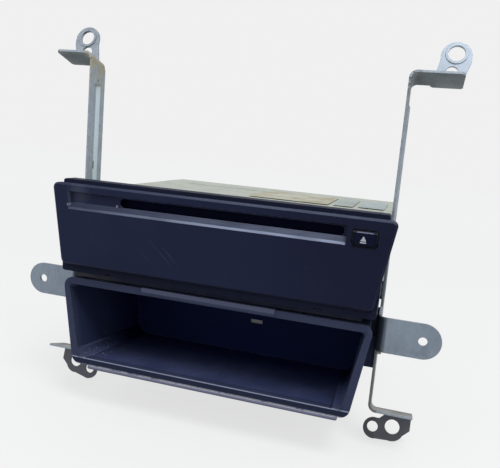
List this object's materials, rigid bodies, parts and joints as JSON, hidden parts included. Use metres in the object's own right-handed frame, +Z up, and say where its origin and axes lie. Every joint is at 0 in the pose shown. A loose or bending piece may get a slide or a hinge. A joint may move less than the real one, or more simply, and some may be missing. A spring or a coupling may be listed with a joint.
{
  "type": "car disc changer",
  "caption": "In-dash disc changer with a black slot panel, a sheet-steel deck case, an open storage pocket below and two strap brackets with bolt holes.",
  "frame": {"origin": "midway between the two side tab holes, in the front face of the tabs", "axes": "+X to the right seen from the front, +Y to the back of the dashboard, +Z up"},
  "size_m": [0.2512, 0.1826, 0.2304],
  "materials": {
    "panel_plastic": "matt moulded",
    "frame_plastic": "matt moulded",
    "pocket_plastic": "fine grained",
    "button_plastic": "satin",
    "case_steel": "plated sheet",
    "lid_steel": "plated sheet",
    "bracket_zinc": "zinc plated",
    "screw_steel": "zinc plated",
    "shutter_plastic": "matt",
    "board_green": "solder mask",
    "chip_plastic": "moulded",
    "pin_brass": "tinned",
    "deck_steel": "plated sheet",
    "damper_rubber": "soft",
    "roller_rubber": "ground",
    "rod_steel": "polished",
    "motor_can": "plated",
    "gear_plastic": "moulded",
    "tray_plastic": "moulded"
  },
  "bodies": {
    "deck": {"slot_panel": "panel_plastic", "panel_frame": "frame_plastic", "deck_case": "case_steel", "case_lid": "lid_steel", "storage_pocket": "pocket_plastic", "bracket_left": "bracket_zinc", "bracket_right": "bracket_zinc", "case_screw_left_low": "screw_steel", "case_screw_left_high": "screw_steel", "case_screw_right_low": "screw_steel", "case_screw_right_high": "screw_steel", "pocket_screw_left": "screw_steel", "pocket_screw_right": "screw_steel", "button_board": "board_green", "eject_switch": "chip_plastic", "main_board": "board_green", "control_chips": "chip_plastic", "harness_socket": "chip_plastic", "socket_pins": "pin_brass", "playback_deck": "deck_steel", "deck_damper_left_front": "damper_rubber", "deck_damper_left_rear": "damper_rubber", "deck_damper_right_front": "damper_rubber", "deck_damper_right_rear": "damper_rubber", "sled_rod_left": "rod_steel", "sled_rod_right": "rod_steel", "spindle_motor": "motor_can", "sled_motor": "motor_can", "roller_bridge": "deck_steel", "loading_motor": "motor_can", "guide_wall_left": "deck_steel", "guide_wall_right": "deck_steel", "lift_motor_mount": "deck_steel", "lift_motor": "motor_can"},
    "button": {"eject_button": "button_plastic"},
    "shutter": {"slot_shutter": "shutter_plastic"},
    "spindle": {"turntable": "tray_plastic"},
    "sled": {"pickup_sled": "tray_plastic"},
    "leadscrew": {"sled_screw": "rod_steel"},
    "roller": {"roller_shaft": "rod_steel", "roller_rubber_left": "roller_rubber", "roller_rubber_right": "roller_rubber", "roller_gear": "gear_plastic"},
    "idler": {"idler_gear": "gear_plastic"},
    "pinion": {"motor_pinion": "gear_plastic"},
    "lift": {"lift_frame": "deck_steel", "disc_tray_1": "tray_plastic", "disc_tray_2": "tray_plastic", "disc_tray_3": "tray_plastic", "disc_tray_4": "tray_plastic", "disc_tray_5": "tray_plastic", "disc_tray_6": "tray_plastic"},
    "cam": {"cam_slide": "deck_steel"},
    "lift_drive": {"lift_gear": "gear_plastic"}
  },
  "joints": [
    {"name": "button_press", "type": "slide", "parent": "deck", "child": "button", "axis": [0, 1, 0], "range_m": [0, 0.0007], "stiffness_N_per_m": 600},
    {"name": "shutter_swing", "type": "hinge", "parent": "deck", "child": "shutter", "pos_m": [0.0081, -0.0138, 0.0606], "axis": [1, 0, 0], "range_deg": [0, 50], "stiffness_Nm_per_rad": 0.003, "springref_deg": -11.46},
    {"name": "turntable_spin", "type": "hinge", "parent": "deck", "child": "spindle", "pos_m": [0.0081, 0.076, 0.024], "axis": [0, 0, 1], "continuous": true},
    {"name": "sled_slide", "type": "slide", "parent": "deck", "child": "sled", "axis": [0, 1, 0], "range_m": [0, 0.036]},
    {"name": "leadscrew_spin", "type": "hinge", "parent": "deck", "child": "leadscrew", "pos_m": [0.0351, 0.1, 0.016], "axis": [0, 1, 0], "continuous": true},
    {"name": "roller_spin", "type": "hinge", "parent": "deck", "child": "roller", "pos_m": [0.0081, 0.004, 0.0495], "axis": [1, 0, 0], "continuous": true},
    {"name": "idler_spin", "type": "hinge", "parent": "deck", "child": "idler", "pos_m": [-0.0764, 0.004, 0.03638], "axis": [1, 0, 0], "continuous": true},
    {"name": "pinion_spin", "type": "hinge", "parent": "deck", "child": "pinion", "pos_m": [-0.0764, 0.004, 0.02626], "axis": [1, 0, 0], "continuous": true},
    {"name": "cam_shift", "type": "slide", "parent": "deck", "child": "cam", "axis": [0, 1, 0], "range_m": [0, 0.016]},
    {"name": "lift_rise", "type": "slide", "parent": "deck", "child": "lift", "axis": [0, 0, 1], "range_m": [0, 0.008]},
    {"name": "lift_gear_spin", "type": "hinge", "parent": "deck", "child": "lift_drive", "pos_m": [-0.07682, 0.09485, 0.012], "axis": [0, 0, 1], "continuous": true}
  ],
  "couplings": [
    {"joint": "leadscrew_spin", "follows": "sled_slide", "rad_per_m": 2094.4},
    {"joint": "idler_spin", "follows": "roller_spin", "ratio": -1.1667},
    {"joint": "pinion_spin", "follows": "roller_spin", "ratio": 1.75},
    {"joint": "lift_rise", "follows": "cam_shift", "ratio": 0.5},
    {"joint": "lift_gear_spin", "follows": "cam_shift", "rad_per_m": 166.67}
  ]
}
